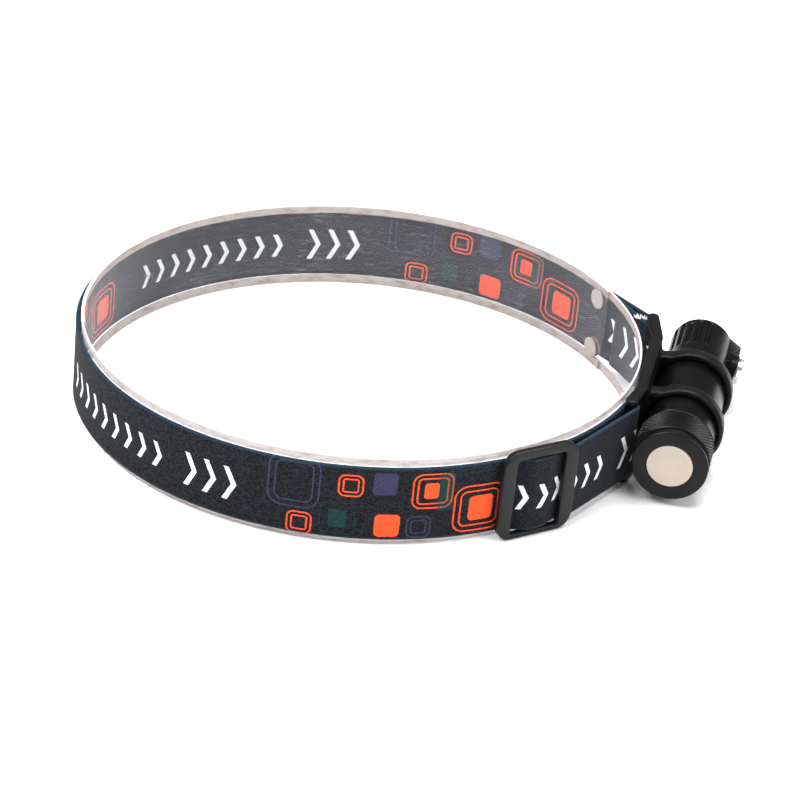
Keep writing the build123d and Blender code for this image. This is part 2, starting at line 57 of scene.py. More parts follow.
# ---------------------------------------------------------------- sizes, millimetres
LOOP_TURN = 19.0
HOOP_A, HOOP_B = 88.8, 81.8
HOOP_T = 0.6
LAP_T = 0.5
LAP_START, LAP_SWEEP = 36.5, 165.0
STRAP_T = 1.0
STRAP_W = 25.0
STRAP_MID_A, STRAP_MID_B = 89.9, 82.9
STRAP_LEAVES = 30.0
FOLD_LENGTH = 17.0
WRAP_R = 2.15
NEAR_TURN = -31.5
FAR_BAR = Vector((87.543, 39.608))
NEAR_BAR = Vector((88.659, -16.542))
TOUCH = 0.15
SLIDER_MIDDLE = Vector((66.667, -55.469))
SLIDER_OUT = -48.628
SLIDER_W, SLIDER_H, SLIDER_T = 26.0, 30.6, 2.2
SLIDER_BAR, SLIDER_CORNER = 4.5, 5.0
SLIDER_RISE = 0.6
CENTRE_BAR_W, CENTRE_BAR_T = 3.5, 1.2
WINDOW_H = 25.8
TUBE_R, CAP_R, HEAD_R = 11.5, 12.0, 10.0
TUBE_END, LAMP_L = 52.5, 80.0
AIM = 12.0

cap_lo, cap_hi = (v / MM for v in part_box("tail_cap"))
HOOP_H = (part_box("clear_hoop")[1] / MM).z
LAMP_Z = HOOP_H / 2
LAMP_AT = Vector(((cap_lo.x + cap_hi.x) / 2, cap_lo.y, LAMP_Z))

aim = math.radians(AIM)
BEAM = Vector((math.cos(aim), 0, -math.sin(aim)))


def frame_matrix(origin, x_axis, z_axis):
    """Millimetre space of a plane, as a matrix to metres."""
    y_axis = z_axis.cross(x_axis)
    turn = Matrix((x_axis, y_axis, z_axis)).transposed().to_4x4()
    return Matrix.Translation(origin * MM) @ turn @ Matrix.Scale(MM, 4)


LAMP = frame_matrix(LAMP_AT, BEAM, Vector((0, 1, 0)))
MM_SPACE = Matrix.Scale(MM, 4)


# ---------------------------------------------------------------- meshes
def new_object(name, verts, faces, matrix=MM_SPACE, smooth=True):
    mesh = bpy.data.meshes.new(name)
    mesh.from_pydata([matrix @ Vector(v) for v in verts], [], faces)
    mesh.validate()
    mesh.update()
    piece = bpy.data.objects.new(name, mesh)
    scene.collection.objects.link(piece)
    tidy_normals(piece)
    mesh.polygons.foreach_set("use_smooth", [smooth] * len(mesh.polygons))
    return piece


def tidy_normals(piece):
    work = bmesh.new()
    work.from_mesh(piece.data)
    bmesh.ops.recalc_face_normals(work, faces=work.faces)
    work.to_mesh(piece.data)
    work.free()


def apply_all(piece):
    """Applies every modifier to the mesh."""
    depsgraph = bpy.context.evaluated_depsgraph_get()
    mesh = bpy.data.meshes.new_from_object(piece.evaluated_get(depsgraph))
    piece.modifiers.clear()
    piece.data = mesh
    mesh.polygons.foreach_set("use_smooth", [True] * len(mesh.polygons))


def sharp_by_angle(piece, degrees=35.0):
    """Smooth shading, with the edges over an angle kept sharp."""
    piece.data.set_sharp_from_angle(angle=math.radians(degrees))


def ring_faces(rows, count, closed=False):
    """Quads between rows of points that run round in rings; closed joins the last row to the first."""
    faces = []
    for row in range(rows if closed else rows - 1):
        here, after = row * count, (row + 1) % rows * count
        for k in range(count):
            j = (k + 1) % count
            faces.append((here + k, here + j, after + j, after + k))
    return faces


def lathe(name, profile, matrix, count=96):
    """A solid turned about the local Z. Profile: (along, radius) points."""
    verts = []
    for along, radius in profile:
        for step in range(count):
            a = 2 * math.pi * step / count
            verts.append((radius * math.cos(a), radius * math.sin(a), along))
    faces = ring_faces(len(profile), count)
    faces.append(tuple(range(count))[::-1])
    faces.append(tuple((len(profile) - 1) * count + step for step in range(count)))
    piece = new_object(name, verts, faces, matrix)
    sharp_by_angle(piece)
    return piece


def rounded_box(width, height, radius, steps=8):
    """Corner points of a rounded rectangle, counterclockwise from the lower right corner."""
    points = []
    for cx, cy, start in ((1, -1, -90), (1, 1, 0), (-1, 1, 90), (-1, -1, 180)):
        for step in range(steps + 1):
            a = math.radians(start + 90 * step / steps)
            x = cx * (width / 2 - radius) + radius * math.cos(a)
            y = cy * (height / 2 - radius) + radius * math.sin(a)
            points.append((x, y))
    return points


def prism_faces(count):
    """Two ends, and the walls between them."""
    faces = [tuple(range(count))[::-1], tuple(range(count, 2 * count))]
    for i in range(count):
        j = (i + 1) % count
        faces.append((i, j, count + j, count + i))
    return faces


def prism(outline, low, high):
    """Vertices and faces of an extruded outline along local Z."""
    verts = [(x, y, low) for x, y in outline] + [(x, y, high) for x, y in outline]
    return verts, prism_faces(len(outline))


def join_parts(name, parts, matrix=MM_SPACE):
    verts, faces = [], []
    for part_verts, part_faces in parts:
        base = len(verts)
        verts += part_verts
        faces += [tuple(base + i for i in face) for face in part_faces]
    return new_object(name, verts, faces, matrix, smooth=False)


# ---------------------------------------------------------------- the oval
def polar(angle, length=1.0):
    a = math.radians(angle)
    return Vector((length * math.cos(a), length * math.sin(a)))


def oval(a, b, at):
    """Point on the turned oval at a parameter angle, and its outward normal."""
    t = math.radians(at)
    turn = Matrix.Rotation(math.radians(LOOP_TURN), 2)
    point = turn @ Vector((a * math.cos(t), b * math.sin(t)))
    normal = turn @ Vector((b * math.cos(t), a * math.sin(t)))
    return point, normal.normalized()


def heading(vector):
    return math.degrees(math.atan2(vector.y, vector.x))


def arc_points(centre, radius, start, sweep, steps):
    return [centre + polar(start + sweep * i / steps, radius) for i in range(steps + 1)]


def line_points(start, end, steps):
    return [start.lerp(end, i / steps) for i in range(steps + 1)]


def path_of(*runs):
    """One line from runs of points, without repeats."""
    points = []
    for run in runs:
        for point in run:
            if not points or (point - points[-1]).length > 1e-4:
                points.append(point)
    return points


def path_lengths(points):
    lengths = [0.0]
    for a, b in zip(points, points[1:]):
        lengths.append(lengths[-1] + (b - a).length)
    return lengths


def ribbon(name, points, section, z_mid, first_length=0.0, width=STRAP_W):
    """A band standing on edge along a plan line. Section: (out, up) points round the band's own
    middle. Stores the length along, the height across and the side on each vertex."""
    lengths = path_lengths(points)
    count = len(section)
    verts, marks = [], []
    for i, point in enumerate(points):
        ahead = points[min(i + 1, len(points) - 1)]
        behind = points[max(i - 1, 0)]
        along = (ahead - behind).normalized()
        outward = Vector((along.y, -along.x))
        for out, up in section:
            place = point + outward * out
            verts.append((place.x, place.y, z_mid + up))
            side = 1.0 if out > 0 else 0.0
            marks.append((first_length + lengths[i], up + width / 2, side))
    faces = ring_faces(len(points), count)
    faces.append(tuple(range(count)))
    faces.append(tuple((len(points) - 1) * count + j for j in range(count))[::-1])
    piece = new_object(name, verts, faces)
    attribute = piece.data.attributes.new("band", "FLOAT_VECTOR", "POINT")
    attribute.data.foreach_set("vector", [c for mark in marks for c in mark])
    return piece


def band_section(thickness, width, edge, rows=14):
    """Section of a woven band with rounded, slightly thicker edges."""
    half = thickness / 2
    thicker, reach = 0.07, 0.9
    right, left = [], []
    for i in range(rows + 1):
        up = -width / 2 + edge + (width - 2 * edge) * i / rows
        swell = thicker * math.exp(-((width / 2 - abs(up)) / reach) ** 2)
        right.append((half + swell, up))
        left.append((-half - swell, up))
    angles = [math.pi * k / 6 for k in range(1, 6)]
    top = [(half * math.cos(a), width / 2 - edge + edge * math.sin(a)) for a in angles]
    bottom = [(-x, -y) for x, y in top]
    return right + top + left[::-1] + bottom


# ---------------------------------------------------------------- materials
class Shader:
    """Short ways to build a material's nodes."""

    def __init__(self, name, rough, metal=0.0, **sockets):
        self.material = bpy.data.materials.new(name)
        self.material.use_nodes = True
        self.tree = self.material.node_tree
        self.bsdf = self.tree.nodes["Principled BSDF"]
        self.bsdf.inputs["Roughness"].default_value = rough
        self.bsdf.inputs["Metallic"].default_value = metal
        for socket, value in sockets.items():
            self.bsdf.inputs[socket.replace("_", " ")].default_value = value

    def node(self, kind, **settings):
        node = self.tree.nodes.new("ShaderNode" + kind)
        for key, value in settings.items():
            setattr(node, key, value)
        return node

    def put(self, socket, value):
        if isinstance(value, bpy.types.NodeSocket):
            self.tree.links.new(value, socket)
        else:
            socket.default_value = value

    def math(self, operation, *values):
        node = self.node("Math", operation=operation)
        for socket, value in zip(node.inputs, values):
            self.put(socket, value)
        return node.outputs[0]

    def vector(self, operation, *values):
        node = self.node("VectorMath", operation=operation)
        for socket, value in zip(node.inputs, values):
            self.put(socket, value)
        return node.outputs["Value" if operation in ("LENGTH", "DOT_PRODUCT") else "Vector"]

    def coords(self):
        """Millimetres at rest."""
        place = self.node("TexCoord").outputs["Object"]
        scale = self.vector("SCALE", place)
        self.tree.nodes[-1].inputs["Scale"].default_value = 1 / MM
        return scale

    def noise(self, vector, scale, detail=3.0, rough=0.55):
        node = self.node("TexNoise")
        self.put(node.inputs["Vector"], vector)
        node.inputs["Scale"].default_value = scale
        node.inputs["Detail"].default_value = detail
        node.inputs["Roughness"].default_value = rough
        return node.outputs["Fac"]

    def ramp(self, value, low, high, to_low=0.0, to_high=1.0):
        node = self.node("MapRange", interpolation_type="SMOOTHSTEP")
        for socket, item in zip(node.inputs, (value, low, high, to_low, to_high)):
            self.put(socket, item)
        return node.outputs[0]

    def mix(self, factor, a, b):
        node = self.node("Mix", data_type="RGBA")
        self.put(node.inputs[0], factor)
        for socket, value in ((node.inputs[6], a), (node.inputs[7], b)):
            self.put(socket, value if isinstance(value, bpy.types.NodeSocket) else (*value, 1.0))
        return node.outputs[2]

    def colour(self, value):
        whole = value if isinstance(value, bpy.types.NodeSocket) else (*value, 1.0)
        self.put(self.bsdf.inputs["Base Color"], whole)

    def bump(self, height, strength, distance=0.1):
        node = self.node("Bump")
        node.inputs["Strength"].default_value = strength
        node.inputs["Distance"].default_value = distance * MM
        self.put(node.inputs["Height"], height)
        self.put(self.bsdf.inputs["Normal"], node.outputs["Normal"])


def plastic(name, colour, rough, grain=3.0, strength=0.15, variation=0.25, metal=0.0, **sockets):
    """A moulded or machined surface: cloudy tone, fine grain, roughness that wanders."""
    s = Shader(name, rough, metal, **sockets)
    place = s.coords()
    cloud = s.noise(place, 0.11, 4.0)
    fine = s.noise(place, grain, 2.0)
    dark = tuple(c * (1 - variation) for c in colour)
    light = tuple(min(1.0, c * (1 + variation)) for c in colour)
    s.colour(s.mix(s.ramp(cloud, 0.3, 0.7), dark, light))
    wander = s.math("ADD", s.math("MULTIPLY", cloud, 0.14), s.math("MULTIPLY", fine, 0.08))
    s.put(s.bsdf.inputs["Roughness"], s.math("ADD", wander, max(0.02, rough - 0.11)))
    s.bump(fine, strength, 0.05)
    return s.material


# ---------------------------------------------------------------- print on the strap
ORANGE = (0.93, 0.09, 0.025)
SLATE = (0.045, 0.048, 0.105)
SLATE_LINE = (0.055, 0.06, 0.13)
TEAL = (0.008, 0.055, 0.045)
WHITE_INK = (0.8, 0.82, 0.84)
CLOTH_DARK = (0.003, 0.0034, 0.005)
CLOTH_LIGHT = (0.03, 0.034, 0.043)
SELVAGE = (0.017, 0.04, 0.066)
# the print's repeat, and where one starts along the band on its outer and its inner side
REPEAT = 178.0
OUTER_START = 324.9
INNER_START = 75.5
INNER_STRETCH = 1.03

# (along the repeat, height on the strap, half width, half height, corner, offsets of its rings)
OUTLINES = {
    "slate": [
        (10.0, 17.6, 7.9, 8.9, 4.6, (0.0, -2.0)),
        (47.9, 4.6, 3.8, 3.8, 2.2, (0.0, -1.35)),
    ],
    "orange": [
        (12.4, 3.7, 3.85, 3.85, 2.2, (0.0, -1.35)),
        (26.8, 18.4, 3.8, 3.8, 2.2, (0.0, -1.35)),
        (51.3, 16.9, 6.3, 6.1, 3.1, (0.0, -1.5)),
        (66.4, 9.5, 8.2, 8.1, 4.1, (0.0, -1.9)),
    ],
    "teal": [
        (23.6, 6.9, 5.4, 5.6, 2.6, (0.0,)),
        (64.5, 17.4, 10.5, 6.4, 3.0, (0.0, -1.4)),
    ],
}
# the same, filled and without rings
FILLS = {
    "slate": [(36.9, 19.5, 3.6, 3.8, 1.2)],
    "orange": [(38.4, 5.1, 3.8, 3.9, 1.5), (50.9, 17.0, 2.2, 2.7, 0.9), (66.9, 9.5, 3.9, 4.3, 1.5)],
    "teal": [(23.6, 6.7, 2.7, 3.1, 1.0), (55.4, 16.4, 2.4, 6.6, 1.0)],
}
LINE_W = 0.5
# slanted marks: (start, end, pitch, half height)
WORDS = [(90.0, 147.6, 6.4, 4.2), (154.0, 173.8, 6.6, 5.6)]
WORD_MIDDLE = 11.6


def strap_material(name):
    s = Shader(name, 0.86, Specular_IOR_Level=0.1, Sheen_Weight=0.04, Sheen_Roughness=0.5)
    band = s.node("Attribute", attribute_name="band").outputs["Vector"]
    split = s.node("SeparateXYZ")
    s.put(split.inputs[0], band)
    along, up, side = split.outputs
    outer = s.math("SUBTRACT", along, OUTER_START)
    inner = s.math("DIVIDE", s.math("SUBTRACT", INNER_START, along), INNER_STRETCH)
    pick = s.math("GREATER_THAN", side, 0.5)
    mixed = s.node("Mix", data_type="FLOAT")
    s.put(mixed.inputs[0], pick)
    s.put(mixed.inputs[2], inner)
    s.put(mixed.inputs[3], outer)
    x = s.math("WRAP", mixed.outputs[0], REPEAT, 0.0)
    # yarns wander a little, so that printed edges aren't ruled
    jitter = s.math("SUBTRACT", s.noise(band, 2.6, 1.0), 0.5)
    x = s.math("ADD", x, s.math("MULTIPLY", jitter, 0.35))
    y = s.math("ADD", up, s.math("MULTIPLY", jitter, 0.3))
    both = s.node("CombineXYZ")
    s.put(both.inputs[0], x)
    s.put(both.inputs[1], y)
    spot = both.outputs[0]

    def square(cx, cy, hx, hy, corner):
        """Signed distance to a rounded rectangle."""
        offset = s.vector("ABSOLUTE", s.vector("SUBTRACT", spot, (cx, cy, 0)))
        q = s.vector("SUBTRACT", offset, (hx - corner, hy - corner, 0))
        parts = s.node("SeparateXYZ")
        s.put(parts.inputs[0], q)
        inside = s.math("MINIMUM", s.math("MAXIMUM", parts.outputs[0], parts.outputs[1]), 0.0)
        outside = s.vector("LENGTH", s.vector("MAXIMUM", q, (0, 0, 0)))
        return s.math("SUBTRACT", s.math("ADD", outside, inside), corner)

    def mask_of(ink):
        mask = None
        for cx, cy, hx, hy, corner, rings in OUTLINES[ink]:
            distance = square(cx, cy, hx, hy, corner)
            for ring in rings:
                hit = s.math("COMPARE", distance, ring - LINE_W / 2, LINE_W / 2)
                mask = hit if mask is None else s.math("MAXIMUM", mask, hit)
        return mask

    def fill_of(ink):
        mask = None
        for item in FILLS[ink]:
            hit = s.math("LESS_THAN", square(*item), 0.0)
            mask = hit if mask is None else s.math("MAXIMUM", mask, hit)
        return mask

    # twill lines and yarn specks
    twill = s.math("SINE", s.vector("DOT_PRODUCT", band, (4.6, 8.6, 0)))
    twill = s.math("ADD", s.math("MULTIPLY", twill, 0.5), 0.5)
    speck = s.noise(s.vector("MULTIPLY", band, (1.0, 1.8, 1.0)), 1.5, 3.0)
    ribs = s.math("SINE", s.vector("DOT_PRODUCT", band, (11.0, -3.2, 0)))
    ribs = s.math("ADD", s.math("MULTIPLY", ribs, 0.25), 0.25)
    weave = s.math("MULTIPLY", twill, s.ramp(speck, 0.36, 0.62))
    ground = s.mix(weave, CLOTH_DARK, CLOTH_LIGHT)

    shade = s.math("ADD", s.math("MULTIPLY", weave, 0.45), 0.62)
    faint = s.math("ADD", s.math("MULTIPLY", weave, 0.5), 0.15)
    colour = ground
    colour = s.mix(s.math("MULTIPLY", mask_of("teal"), faint), colour, TEAL)
    colour = s.mix(s.math("MULTIPLY", mask_of("slate"), s.math("MULTIPLY", shade, 0.75)), colour, SLATE_LINE)
    colour = s.mix(mask_of("orange"), colour, ORANGE)
    colour = s.mix(s.math("MULTIPLY", fill_of("teal"), s.math("MULTIPLY", shade, 0.8)), colour, TEAL)
    colour = s.mix(s.math("MULTIPLY", fill_of("slate"), shade), colour, SLATE)
    colour = s.mix(fill_of("orange"), colour, ORANGE)
    # a row of slanted marks where a word would stand
    lift = s.math("ABSOLUTE", s.math("SUBTRACT", y, WORD_MIDDLE))
    marks = None
    for start, end, pitch, half in WORDS:
        leaning = s.math("ADD", x, s.math("MULTIPLY", lift, 0.5))
        turns = s.math("FRACT", s.math("DIVIDE", s.math("SUBTRACT", leaning, start), pitch))
        stroke = s.math("COMPARE", turns, 0.4, 0.13)
        reach = s.math("COMPARE", leaning, (start + end) / 2, (end - start) / 2)
        inside = s.math("MULTIPLY", reach, s.math("LESS_THAN", lift, half))
        hit = s.math("MULTIPLY", stroke, inside)
        marks = hit if marks is None else s.math("MAXIMUM", marks, hit)
    colour = s.mix(marks, colour, WHITE_INK)
    # blue knitted edges
    rim = s.math("SUBTRACT", STRAP_W / 2, s.math("ABSOLUTE", s.math("SUBTRACT", up, STRAP_W / 2)))
    stitch = s.math("SINE", s.math("MULTIPLY", along, 7.5))
    scallop = s.math("MULTIPLY", stitch, 0.12)
    edge = s.ramp(s.math("ADD", rim, scallop), 0.55, 0.95, 1.0, 0.0)
    knit = s.math("ADD", s.math("MULTIPLY", stitch, 0.3), 0.62)
    colour = s.mix(s.math("MULTIPLY", edge, knit), colour, SELVAGE)
    s.colour(colour)
    height = s.math("ADD", weave, s.math("MULTIPLY", ribs, 0.4))
    s.bump(height, 0.55, 0.12)
    return s.material


RIM_COLOUR = (0.8, 0.74, 0.72)
GRAZING_VEIL = 0.16
MARGIN_W = 2.7  # cloudy band along each edge of the strip
MARGIN_FADE = 0.7
MARGIN_VEIL = 0.58
MARGIN_LIGHT = (0.52, 0.465, 0.45)
MARGIN_DARK = (0.34, 0.26, 0.22)


def clear_material(name, veil, rim_veil, tint):
    """Clear strip: see-through in its middle, cloudy along its edges, milky on its rims."""
    s = Shader(name, 0.16, Coat_Weight=0.12, Coat_Roughness=0.08, Specular_IOR_Level=0.3)
    place = s.coords()
    band = s.node("Attribute", attribute_name="band").outputs["Vector"]
    split = s.node("SeparateXYZ")
    s.put(split.inputs[0], band)
    up = split.outputs[1]
    rim = s.math("SUBTRACT", HOOP_H / 2, s.math("ABSOLUTE", s.math("SUBTRACT", up, HOOP_H / 2)))
    edge = s.ramp(rim, 0.02, 0.45, 1.0, 0.0)
    ragged = s.math("ADD", rim, s.math("MULTIPLY", s.noise(place, 0.25, 2.0), 0.5))
    margin = s.ramp(ragged, MARGIN_W, MARGIN_W + MARGIN_FADE, 1.0, 0.0)
    smudge = s.ramp(s.noise(s.vector("MULTIPLY", place, (0.5, 0.5, 1.4)), 0.5, 4.0), 0.45, 0.72, 0.0, 1.0)
    scuffs = s.noise(s.vector("MULTIPLY", place, (0.35, 0.35, 1.6)), 0.6, 4.0)
    haze = s.ramp(scuffs, 0.55, 0.75, 0.0, 0.08)
    grazing = s.node("LayerWeight")
    grazing.inputs["Blend"].default_value = 0.5
    sheer = s.math("MULTIPLY", s.math("POWER", grazing.outputs["Facing"], 3.0), GRAZING_VEIL)
    alpha = s.math("ADD", s.math("MULTIPLY", edge, rim_veil - veil), s.math("ADD", haze, veil))
    murk = s.math("ADD", s.math("MULTIPLY", smudge, 0.12), MARGIN_VEIL)
    alpha = s.math("ADD", alpha, s.math("MULTIPLY", margin, murk))
    alpha = s.math("MINIMUM", s.math("ADD", alpha, sheer), 0.92)
    s.put(s.bsdf.inputs["Alpha"], alpha)
    cloudy = s.mix(s.ramp(s.noise(place, 0.03, 2.0), 0.35, 0.65), tint, tuple(c * 1.15 for c in tint))
    yellowed = s.mix(smudge, MARGIN_LIGHT, MARGIN_DARK)
    s.colour(s.mix(edge, s.mix(margin, cloudy, yellowed), RIM_COLOUR))
    s.bump(s.noise(place, 0.25, 3.0), 0.12, 0.3)
    return s.material


MATERIALS = {
    "strap": strap_material("woven_print"),
    "hoop": clear_material("clear_strip", 0.035, 0.8, (0.44, 0.44, 0.48)),
    "rivet": plastic("rivet_plastic", (0.37, 0.33, 0.31), 0.42, 1.5, 0.1, 0.08, Specular_IOR_Level=0.25),
    "slider": plastic("slider_plastic", (0.007, 0.007, 0.0076), 0.38, 5.0, 0.25, 0.15, Specular_IOR_Level=0.2),
    "silicone": plastic("silicone", (0.003, 0.003, 0.0034), 0.4, 4.0, 0.2, 0.2, Specular_IOR_Level=0.16),
    "anodised": plastic("anodised", (0.002, 0.002, 0.0022), 0.26, 8.0, 0.1, 0.2, Specular_IOR_Level=0.13),
    "cap": plastic("cap_anodised", (0.003, 0.0029, 0.0028), 0.36, 6.0, 0.2, 0.25, Specular_IOR_Level=0.16),
    "magnet": plastic("magnet_plate", (0.43, 0.37, 0.315), 0.42, 2.0, 0.08, 0.06, 0.1, Specular_IOR_Level=0.3),
    "bezel": plastic("bezel_metal", (0.55, 0.56, 0.6), 0.22, 4.0, 0.1, 0.15, 1.0),
    "mirror": plastic("mirror", (0.85, 0.86, 0.88), 0.12, 2.0, 0.03, 0.05, 1.0),
    "phosphor": plastic("phosphor", (0.9, 0.72, 0.12), 0.5, 4.0, 0.1, 0.08),
    "board": plastic("board", (0.03, 0.16, 0.08), 0.5, 3.0, 0.1, 0.2),
    "star": plastic("star_board", (0.75, 0.75, 0.73), 0.45, 3.0, 0.08, 0.06),
    "wrap": plastic("cell_wrap", (0.02, 0.08, 0.22), 0.35, 3.0, 0.05, 0.1),
    "spring": plastic("spring_wire", (0.5, 0.5, 0.52), 0.3, 6.0, 0.05, 0.1, 1.0),
    "gold": plastic("gold_wire", (0.75, 0.5, 0.18), 0.28, 6.0, 0.05, 0.1, 1.0),
    "switch": plastic("switch_metal", (0.55, 0.55, 0.55), 0.3, 5.0, 0.05, 0.1, 1.0),
    "button": plastic("button_rubber", (0.02, 0.02, 0.022), 0.62, 4.0, 0.2, 0.15),
    "thread": plastic("white_thread", (0.82, 0.82, 0.8), 0.8, 9.0, 0.4, 0.12),
    "wire": plastic("wire_insulation", (0.4, 0.03, 0.02), 0.45, 3.0, 0.05, 0.1),
}


def glass_material():
    s = Shader("lens_glass", 0.03, Transmission_Weight=1.0, IOR=1.45, Coat_Weight=0.3, Coat_Roughness=0.05)
    place = s.coords()
    s.colour(s.mix(s.noise(place, 0.5, 2.0), (0.9, 0.93, 0.96), (0.97, 0.98, 1.0)))
    s.bump(s.noise(place, 0.6, 2.0), 0.02, 0.05)
    return s.material


MATERIALS["glass"] = glass_material()


def dress(piece, key):
    piece.data.materials.clear()
    piece.data.materials.append(MATERIALS[key])


def place(piece, body, key, slot, *replaced):
    """Rides a piece on its body, with its finish and the CAD nodes it stands for."""
    dress(piece, key)
    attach(piece, body)
    if replaced:
        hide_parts(*replaced)
    return piece


# ---------------------------------------------------------------- strap
far_start, far_out = oval(STRAP_MID_A, STRAP_MID_B, STRAP_LEAVES)
near_out = oval(STRAP_MID_A, STRAP_MID_B, NEAR_TURN)[1]
far_heading, near_heading = heading(far_out), heading(near_out)
fold_turn = math.degrees(math.asin((2 * WRAP_R - STRAP_T - TOUCH) / FOLD_LENGTH))
far_wrap = arc_points(FAR_BAR, WRAP_R, far_heading - 180 - fold_turn, 180 + fold_turn, 24)
fold_end = far_wrap[0] + polar(far_heading + 90 - fold_turn, FOLD_LENGTH - TOUCH)
loop_arc = [
    oval(STRAP_MID_A, STRAP_MID_B, STRAP_LEAVES + (360 + NEAR_TURN - STRAP_LEAVES) * i / 240)[0]
    for i in range(241)
]
slider_x = polar(SLIDER_OUT - 90)
slider_y = polar(SLIDER_OUT)


def at_slider(x, y):
    """Plan point seen from the slider: x away from the lamp, y outwards from its back."""
    return SLIDER_MIDDLE + slider_x * x + slider_y * y


slider_edge = at_slider(-SLIDER_W / 2, -STRAP_T / 2 - TOUCH)
front_aim = slider_edge - NEAR_BAR
front_heading = heading(front_aim) + math.degrees(math.asin(WRAP_R / front_aim.length))
near_sweep = (front_heading + 90 - near_heading - 180) % 360 - 360
near_wrap = arc_points(NEAR_BAR, WRAP_R, near_heading + 180, near_sweep, 24)

section = band_section(STRAP_T, STRAP_W, 0.3)
far_run = line_points(far_wrap[-1], far_start, 16)
loop_points = path_of(line_points(fold_end, far_wrap[0], 12), far_wrap, far_run, loop_arc)
lead = path_lengths(loop_points)[len(loop_points) - len(loop_arc)]
strap_loop = ribbon("strap_loop", loop_points, section, LAMP_Z, -lead)
place(strap_loop, "headband", "strap", "elastic_webbing", "strap_band")
LOOP_END = path_lengths(loop_arc)[-1]

outer_end = at_slider(-SLIDER_W / 2 + SLIDER_BAR - 1.0, -STRAP_T / 2 - TOUCH)
front_run = line_points(near_wrap[-1], slider_edge, 28)
outer_points = path_of(near_wrap, front_run, line_points(slider_edge, outer_end, 4))
strap_outer = ribbon("strap_outer", outer_points, section, LAMP_Z, LOOP_END)
dress(strap_outer, "strap")
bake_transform(strap_outer)

window_points = []
hump_top = CENTRE_BAR_T + TOUCH + STRAP_T / 2
inside = SLIDER_W / 2 - SLIDER_BAR
for i in range(49):
    x = -inside - 1.0 + (2 * inside + 0.6) * i / 48
    fall = min(1.0, max(0.0, (abs(x) - CENTRE_BAR_W / 2) / (inside - CENTRE_BAR_W / 2 - 0.2)))
    ease = fall * fall * (3 - 2 * fall)
    height = hump_top * (1 - ease) + (-STRAP_T / 2 - TOUCH) * ease
    window_points.append(at_slider(x, height))
strap_window = ribbon("strap_window", window_points, section, LAMP_Z, LOOP_END + path_lengths(outer_points)[-1])
place(strap_window, "slider", "strap", "elastic_webbing", "strap_in_slider")


# ---------------------------------------------------------------- former
def strip_section(low, high, height):
    """Section of a clear strip between two distances from the oval, softly rounded."""
    soft = 0.12
    end = height / 2
    levels = [-end + soft, -end / 2, 0.0, end / 2, end - soft]
    upper = [(high - soft, end), (low + soft, end)]
    lower = [(low + soft, -end), (high - soft, -end)]
    return [(high, up) for up in levels] + upper + [(low, up) for up in reversed(levels)] + lower


# one strip, wound so that it laps over itself from LAP_START round the back
start_at = LAP_START - LOOP_TURN
wind = [oval(HOOP_A, HOOP_B, start_at + LAP_SWEEP + 360 * i / 300)[0] for i in range(301)]
outer_strip = ribbon("former_outer", wind, strip_section(-HOOP_T, 0.0, HOOP_H), LAMP_Z, width=HOOP_H)
place(outer_strip, "former", "hoop", "clear_plastic", "clear_hoop")
lap = [oval(HOOP_A - HOOP_T, HOOP_B - HOOP_T, start_at + LAP_SWEEP * i / 140)[0] for i in range(141)]
inner_strip = ribbon("former_inner", lap, strip_section(-LAP_T, -0.03, HOOP_H - 0.3), LAMP_Z, width=HOOP_H)
place(inner_strip, "former", "hoop", "clear_plastic", "clear_hoop")


# ---------------------------------------------------------------- slider
def slider_frame():
    """A rounded frame with a window, and a bar across its middle that stands lower."""
    steps = 10
    outer = rounded_box(SLIDER_W, SLIDER_H, SLIDER_CORNER, steps)
    inner = rounded_box(SLIDER_W - 2 * SLIDER_BAR, WINDOW_H, 1.2, steps)
    # a section round the frame: (0 at the outline or 1 at the window, inset, height)
    soft, edge = 0.55, 0.15
    quarter = [math.pi / 2 * k / 4 for k in range(5)]
    shoulder = [(soft * (1 - math.cos(a)), SLIDER_T - soft + soft * math.sin(a)) for a in quarter]
    section = [(0, 0.0, edge), (0, edge, 0.0), (1, edge, 0.0), (1, 0.0, edge)]
    section += [(1, inset, up) for inset, up in shoulder]
    section += [(0, inset, up) for inset, up in reversed(shoulder)]
    verts = []
    for (ox, oy), (ix, iy) in zip(outer, inner):
        across = Vector((ix - ox, iy - oy))
        unit = across.normalized()
        for which, inset, up in section:
            base = Vector((ox, oy)) if which == 0 else Vector((ix, iy))
            spot = base + unit * inset if which == 0 else base - unit * inset
            verts.append((spot.x, spot.y + SLIDER_RISE * (1 if which == 0 else 0), up))
    faces = ring_faces(len(outer), len(section), closed=True)
    bar = rounded_box(CENTRE_BAR_W, CENTRE_BAR_T, 0.45, 4)
    bar_verts = [(x, -WINDOW_H / 2 - 0.5, y + CENTRE_BAR_T / 2) for x, y in bar]
    bar_verts += [(x, WINDOW_H / 2 + 0.5, y + CENTRE_BAR_T / 2) for x, y in bar]
    return join_parts("slider", [(verts, faces), (bar_verts, prism_faces(len(bar)))], SLIDER)


SLIDER = frame_matrix(
    Vector((SLIDER_MIDDLE.x, SLIDER_MIDDLE.y, LAMP_Z)),
    Vector((*polar(SLIDER_OUT + 90), 0)),
    Vector((*polar(SLIDER_OUT), 0)),
)
slider = slider_frame()
slider.data.polygons.foreach_set("use_smooth", [True] * len(slider.data.polygons))
sharp_by_angle(slider, 50)
place(slider, "slider", "slider", "black_plastic", "slider_buckle")

